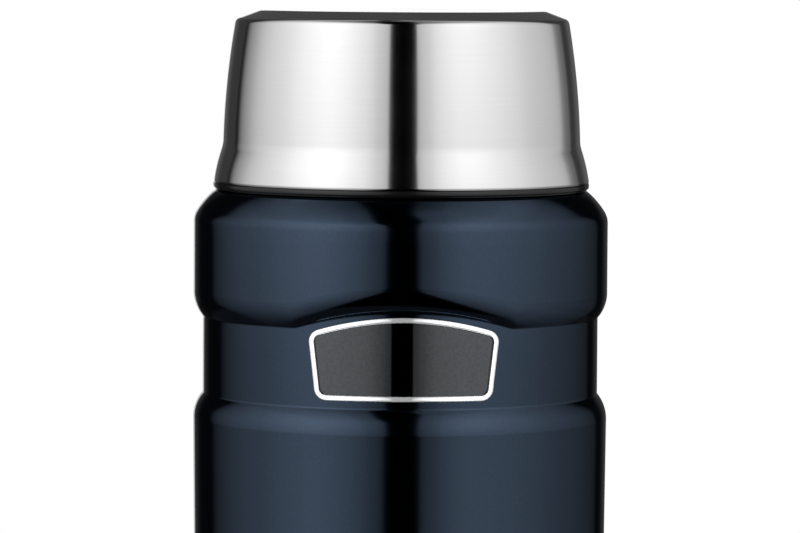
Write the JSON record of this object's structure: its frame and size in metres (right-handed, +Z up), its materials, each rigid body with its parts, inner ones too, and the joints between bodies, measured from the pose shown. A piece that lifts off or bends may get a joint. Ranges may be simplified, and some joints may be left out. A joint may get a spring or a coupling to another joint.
{
  "type": "insulated food jar",
  "caption": "Wide-mouth vacuum food jar with a recessed waist, a bare badge, a screw stopper and a screw-on steel lid that serves as a cup.",
  "frame": {"origin": "centre of the flat ring that the jar stands on, at the bottom of the whole jar", "axes": "+Z up the jar's axis to the lid, -Y to the front with the badge, +X to the right seen from the front"},
  "size_m": [0.097, 0.097, 0.1841],
  "materials": {
    "painted_shell": "dark blue metallic gloss coat over steel, bare steel neck",
    "liner_steel": "satin stainless steel, turned round the axis",
    "base_steel": "satin stainless steel",
    "lid_steel": "stainless steel brushed round the axis",
    "foil": "thin copper-coloured reflecting foil",
    "getter_metal": "dull sintered metal",
    "badge_metal": "bright polished rim",
    "badge_field": "dark satin enamel, bare",
    "adhesive": "adhesive foam",
    "stopper_plastic": "fine-grained black plastic",
    "ring_plastic": "satin black plastic",
    "foam": "closed-cell foam",
    "silicone": "translucent white silicone"
  },
  "bodies": {
    "jar": {"outer_shell": "painted_shell", "liner_wall": "liner_steel", "liner_base": "liner_steel", "foil_wrap": "foil", "foil_disc": "foil", "getter": "getter_metal", "getter_clip": "liner_steel", "vacuum_base": "base_steel", "seal_bead": "getter_metal", "base_cover": "base_steel", "badge_pad": "adhesive", "badge_plate": "badge_metal", "badge_inlay": "badge_field"},
    "stopper_seal": {"stopper_gasket": "silicone"},
    "stopper": {"stopper_body": "stopper_plastic", "stopper_foam": "foam", "stopper_cover": "stopper_plastic"},
    "lid_pad": {"lid_insulation": "foam"},
    "lid": {"lid_ring": "ring_plastic", "lid_bowl": "liner_steel", "lid_shell": "lid_steel"}
  },
  "joints": [
    {"name": "stopper_lift", "type": "slide", "parent": "jar", "child": "stopper_seal", "axis": [0, 0, 1], "range_m": [0, 0.032]},
    {"name": "stopper_turn", "type": "hinge", "parent": "stopper_seal", "child": "stopper", "pos_m": [0, 0, 0.15], "axis": [0, 0, 1], "range_deg": [0, 300]},
    {"name": "lid_lift", "type": "slide", "parent": "stopper_seal", "child": "lid_pad", "axis": [0, 0, 1], "range_m": [0, 0.045]},
    {"name": "lid_turn", "type": "hinge", "parent": "lid_pad", "child": "lid", "pos_m": [0, 0, 0.15], "axis": [0, 0, 1], "range_deg": [0, 360]}
  ]
}
